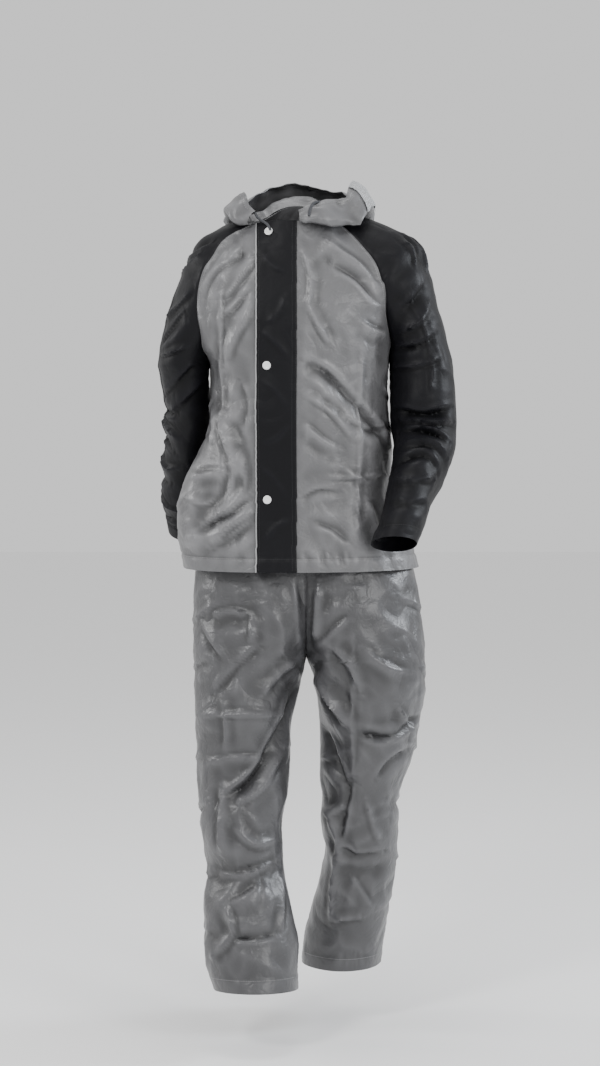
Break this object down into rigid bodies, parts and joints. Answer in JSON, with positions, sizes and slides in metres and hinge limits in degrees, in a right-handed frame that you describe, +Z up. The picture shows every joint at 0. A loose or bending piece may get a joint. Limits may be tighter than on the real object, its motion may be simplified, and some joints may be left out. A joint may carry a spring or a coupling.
{
  "type": "rain_suit",
  "caption": "Grey rain suit in a walking pose: raglan jacket with black sleeves, a black front flap with three white studs and a thrown-back hood, over matching trousers.",
  "frame": {"origin": "the mount named shoulders, on the line between the shoulders at the base of the neck", "axes": "+X to the wearer's left, which is to the right in the picture; -Y to the front; +Z up"},
  "size_m": [0.5416, 0.437, 1.4548],
  "materials": {
    "grey_shell": "coated polyester with a satin shine",
    "black_shell": "coated polyester with a satin shine",
    "stud": "glossy white press studs",
    "cord": "braided dark polyester cord",
    "visor_film": "crinkled clear film",
    "waist_elastic": "matt gathered elastic casing"
  },
  "bodies": {
    "root": {"front_right": "grey_shell", "front_left": "grey_shell", "jacket_back": "grey_shell", "sleeve_right": "black_shell", "sleeve_left": "black_shell", "front_flap": "black_shell", "hood": "grey_shell", "hood_visor": "visor_film", "snap_top": "stud", "snap_middle": "stud", "snap_bottom": "stud", "drawcord_right": "cord", "drawcord_left": "cord", "trouser_front_right": "grey_shell", "trouser_back_right": "grey_shell", "trouser_front_left": "grey_shell", "trouser_back_left": "grey_shell", "waistband": "waist_elastic"}
  },
  "joints": []
}
